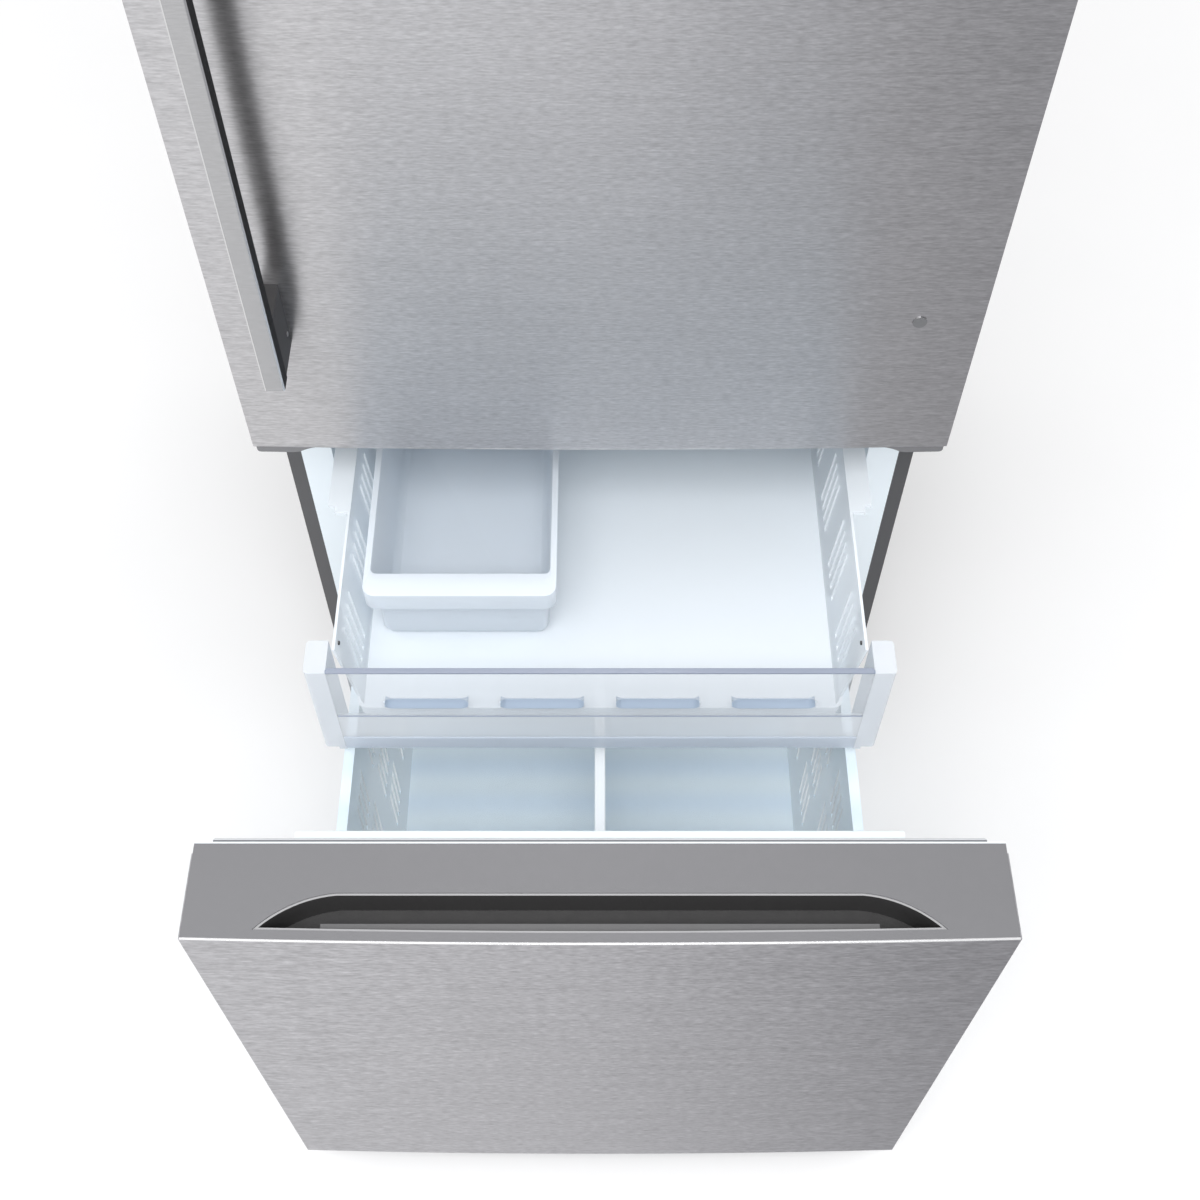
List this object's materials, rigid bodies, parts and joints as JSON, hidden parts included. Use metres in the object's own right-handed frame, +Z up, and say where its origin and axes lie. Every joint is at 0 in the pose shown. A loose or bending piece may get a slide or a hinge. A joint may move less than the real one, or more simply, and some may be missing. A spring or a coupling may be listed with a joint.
{
  "type": "bottom freezer refrigerator",
  "caption": "Upright refrigerator with a hinged brushed-steel door above a pull-out freezer drawer, which stands open with its tray and basket.",
  "frame": {"origin": "on the floor, under the centre of the box that the refrigerator fills at rest with its drawer out", "axes": "+Z up, +X to the right seen from the front, +Y to the back"},
  "size_m": [0.756, 1.4089, 1.773],
  "materials": {
    "door_steel": "satin",
    "case_paint": "satin",
    "zinc_steel": "satin",
    "foam": "matte",
    "liner_white": "satin",
    "trim_white": "satin",
    "tray_white": "satin",
    "basket_white": "satin",
    "clear_plastic": "gloss",
    "shelf_glass": "gloss",
    "lens": "satin",
    "grey_plastic": "satin",
    "dark_plastic": "matte",
    "dark_metal": "satin",
    "charcoal": "satin",
    "handle_silver": "satin",
    "screw_steel": "polished",
    "disc_grey": "satin",
    "seal_white": "matte",
    "compressor_black": "satin",
    "fin_metal": "satin"
  },
  "bodies": {
    "cabinet": {"cabinet_shell": "case_paint", "back_panel": "zinc_steel", "cabinet_insulation": "foam", "fridge_liner": "liner_white", "freezer_liner": "liner_white", "mullion_bar": "case_paint", "base_frame": "zinc_steel", "toe_grille": "dark_plastic", "roller_axles": "zinc_steel", "middle_hinge": "dark_metal", "top_hinge": "dark_metal", "top_hinge_cover": "grey_plastic", "drawer_slide_outers": "zinc_steel", "tray_rails": "tray_white", "shelf_frames": "trim_white", "shelf_glass": "shelf_glass", "air_duct_panel": "trim_white", "light_cover": "lens", "control_panel": "trim_white", "compressor": "compressor_black", "condenser": "fin_metal", "evaporator": "fin_metal", "fan_motors": "dark_plastic", "evaporator_cover": "trim_white", "drain_pan": "dark_plastic", "rear_cover": "zinc_steel"},
    "upper_door": {"door_skin": "door_steel", "door_cap_top": "grey_plastic", "door_cap_bottom": "grey_plastic", "door_insulation": "foam", "door_liner": "liner_white", "door_bins": "clear_plastic", "door_gasket": "seal_white", "handle_bar": "handle_silver", "handle_posts": "charcoal", "handle_set_screws": "screw_steel", "badge_disc": "disc_grey"},
    "freezer_drawer": {"drawer_skin": "door_steel", "drawer_cap_top": "grey_plastic", "drawer_handle_cup": "charcoal", "drawer_cap_bottom": "grey_plastic", "drawer_insulation": "foam", "drawer_liner": "liner_white", "drawer_gasket": "seal_white", "drawer_slide_inners": "zinc_steel", "lower_basket": "basket_white"},
    "slide_middles": {"drawer_slide_middles": "zinc_steel"},
    "tray": {"tray_tub": "tray_white", "tray_front_panel": "clear_plastic", "tray_end_caps": "trim_white"},
    "ice_bin": {"ice_bin": "basket_white"},
    "basket_divider": {"basket_divider": "trim_white"},
    "crisper_left": {"crisper_left": "clear_plastic"},
    "crisper_right": {"crisper_right": "clear_plastic"},
    "condenser_fan": {"condenser_fan": "dark_plastic"},
    "evaporator_fan": {"evaporator_fan": "trim_white"},
    "levelling_foot_left": {"levelling_foot_left": "dark_plastic"},
    "levelling_foot_right": {"levelling_foot_right": "dark_plastic"},
    "roller_left": {"roller_left": "dark_plastic"},
    "roller_right": {"roller_right": "dark_plastic"}
  },
  "joints": [
    {"name": "drawer_slide", "type": "slide", "parent": "cabinet", "child": "freezer_drawer", "axis": [0, -1, 0], "range_m": [-0.557, 0]},
    {"name": "slide_middles_slide", "type": "slide", "parent": "cabinet", "child": "slide_middles", "axis": [0, -1, 0], "range_m": [-0.2785, 0]},
    {"name": "tray_slide", "type": "slide", "parent": "cabinet", "child": "tray", "axis": [0, -1, 0], "range_m": [-0.3471, 0]},
    {"name": "ice_bin_slide", "type": "slide", "parent": "tray", "child": "ice_bin", "axis": [1, 0, 0], "range_m": [-0.012, 0.3]},
    {"name": "divider_slide", "type": "slide", "parent": "freezer_drawer", "child": "basket_divider", "axis": [1, 0, 0], "range_m": [-0.2, 0.2]},
    {"name": "upper_door_hinge", "type": "hinge", "parent": "cabinet", "child": "upper_door", "pos_m": [0.358, -0.1015, 1.2], "axis": [0, 0, 1], "range_deg": [0, 120]},
    {"name": "crisper_left_slide", "type": "slide", "parent": "cabinet", "child": "crisper_left", "axis": [0, -1, 0], "range_m": [0, 0.2701]},
    {"name": "crisper_right_slide", "type": "slide", "parent": "cabinet", "child": "crisper_right", "axis": [0, -1, 0], "range_m": [0, 0.2701]},
    {"name": "condenser_fan_spin", "type": "hinge", "parent": "cabinet", "child": "condenser_fan", "pos_m": [-0.06, 0.6045, 0.106], "axis": [1, 0, 0], "continuous": true},
    {"name": "evaporator_fan_spin", "type": "hinge", "parent": "cabinet", "child": "evaporator_fan", "pos_m": [0, 0.5595, 0.655], "axis": [0, 1, 0], "continuous": true},
    {"name": "levelling_foot_left_turn", "type": "hinge", "parent": "cabinet", "child": "levelling_foot_left", "pos_m": [-0.33, 0.0095, 0.01], "axis": [0, 0, 1], "continuous": true},
    {"name": "roller_left_spin", "type": "hinge", "parent": "cabinet", "child": "roller_left", "pos_m": [-0.33, 0.6445, 0.018], "axis": [1, 0, 0], "continuous": true},
    {"name": "levelling_foot_right_turn", "type": "hinge", "parent": "cabinet", "child": "levelling_foot_right", "pos_m": [0.33, 0.0095, 0.01], "axis": [0, 0, 1], "continuous": true},
    {"name": "roller_right_spin", "type": "hinge", "parent": "cabinet", "child": "roller_right", "pos_m": [0.33, 0.6445, 0.018], "axis": [1, 0, 0], "continuous": true}
  ],
  "couplings": [
    {"joint": "slide_middles_slide", "follows": "drawer_slide", "ratio": 0.5},
    {"joint": "tray_slide", "follows": "drawer_slide", "ratio": 0.62298},
    {"joint": "crisper_left_slide", "follows": "upper_door_hinge", "m_per_rad": 0.12892},
    {"joint": "crisper_right_slide", "follows": "upper_door_hinge", "m_per_rad": 0.12892}
  ]
}
